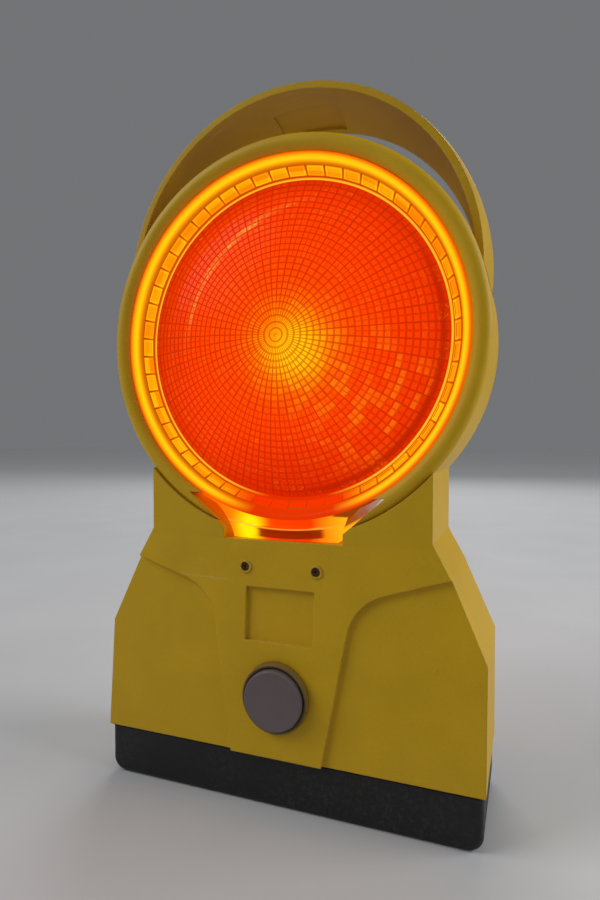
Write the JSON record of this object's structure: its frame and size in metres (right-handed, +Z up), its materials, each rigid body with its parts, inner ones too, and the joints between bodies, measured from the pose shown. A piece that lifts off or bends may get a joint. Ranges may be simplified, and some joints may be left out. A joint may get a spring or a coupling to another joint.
{
  "type": "barricade warning light",
  "caption": "Two-sided amber warning lamp for road barricades: round prism lenses in a yellow case, carry strap, push button and hinged black battery cover with key lock.",
  "frame": {"origin": "on the ground, at the mouth of the mounting socket in the battery cover's flat underside, straight below the lens centre at the case's mid-depth", "axes": "+X along the lamp's width, -Y towards the side with the push button, +Z up"},
  "size_m": [0.1968, 0.0792, 0.3598],
  "materials": {
    "yellow_plastic": "fine moulded grain, satin",
    "black_plastic": "matt",
    "amber_lens": "clear amber, prismatic",
    "white_plastic": "matt white",
    "grey_plastic": "satin grey",
    "seal_rubber": "matt",
    "zinc_steel": "zinc plated",
    "spring_steel": "bright",
    "contact_brass": "plain",
    "circuit_board": "solder mask",
    "chip_plastic": "matt",
    "led_plastic": "clear amber",
    "lead_jacket": "smooth",
    "cell_jacket": "printed sleeve, plain",
    "lock_zinc": "die cast, satin"
  },
  "bodies": {
    "housing": {"front_housing": "yellow_plastic", "rear_cover": "yellow_plastic", "cover_seal": "seal_rubber", "housing_screws": "zinc_steel", "front_lens": "amber_lens", "rear_lens": "amber_lens", "front_lens_seal": "seal_rubber", "rear_lens_seal": "seal_rubber", "lens_spacer": "white_plastic", "lens_screws": "zinc_steel", "led_mast": "white_plastic", "mast_screws": "zinc_steel", "led_boards": "circuit_board", "leds": "led_plastic", "light_sensor": "chip_plastic", "led_leads": "lead_jacket", "control_board": "circuit_board", "board_screws": "zinc_steel", "board_parts": "chip_plastic", "push_switch": "chip_plastic", "button_collar": "yellow_plastic", "button_seal": "seal_rubber", "handle": "yellow_plastic", "handle_clamps": "zinc_steel", "handle_screws": "zinc_steel", "battery_tray": "black_plastic", "tray_screws": "zinc_steel", "battery_cells": "cell_jacket", "top_contacts": "contact_brass", "battery_leads": "lead_jacket", "hinge_pins": "zinc_steel"},
    "button": {"button_cap": "grey_plastic", "button_spring": "spring_steel"},
    "cover": {"base_cover": "black_plastic", "base_seal": "seal_rubber", "mount_sleeve": "zinc_steel", "contact_bridges": "contact_brass", "bridge_screws": "zinc_steel", "contact_springs": "spring_steel"},
    "lock": {"lock_barrel": "lock_zinc", "lock_clip": "spring_steel", "lock_finger": "lock_zinc", "lock_screw": "zinc_steel"}
  },
  "joints": [
    {"name": "button_press", "type": "slide", "parent": "housing", "child": "button", "axis": [0, 1, 0], "range_m": [0, 0.0025], "stiffness_N_per_m": 600, "springref_m": -0.002, "deforming": ["button_spring"]},
    {"name": "cover_open", "type": "hinge", "parent": "housing", "child": "cover", "pos_m": [0, 0.0332, 0.0254], "axis": [1, 0, 0], "range_deg": [0, 95]},
    {"name": "lock_turn", "type": "hinge", "parent": "cover", "child": "lock", "pos_m": [0, -0.024, 0.01], "axis": [0, 0, 1], "range_deg": [0, 90]}
  ]
}
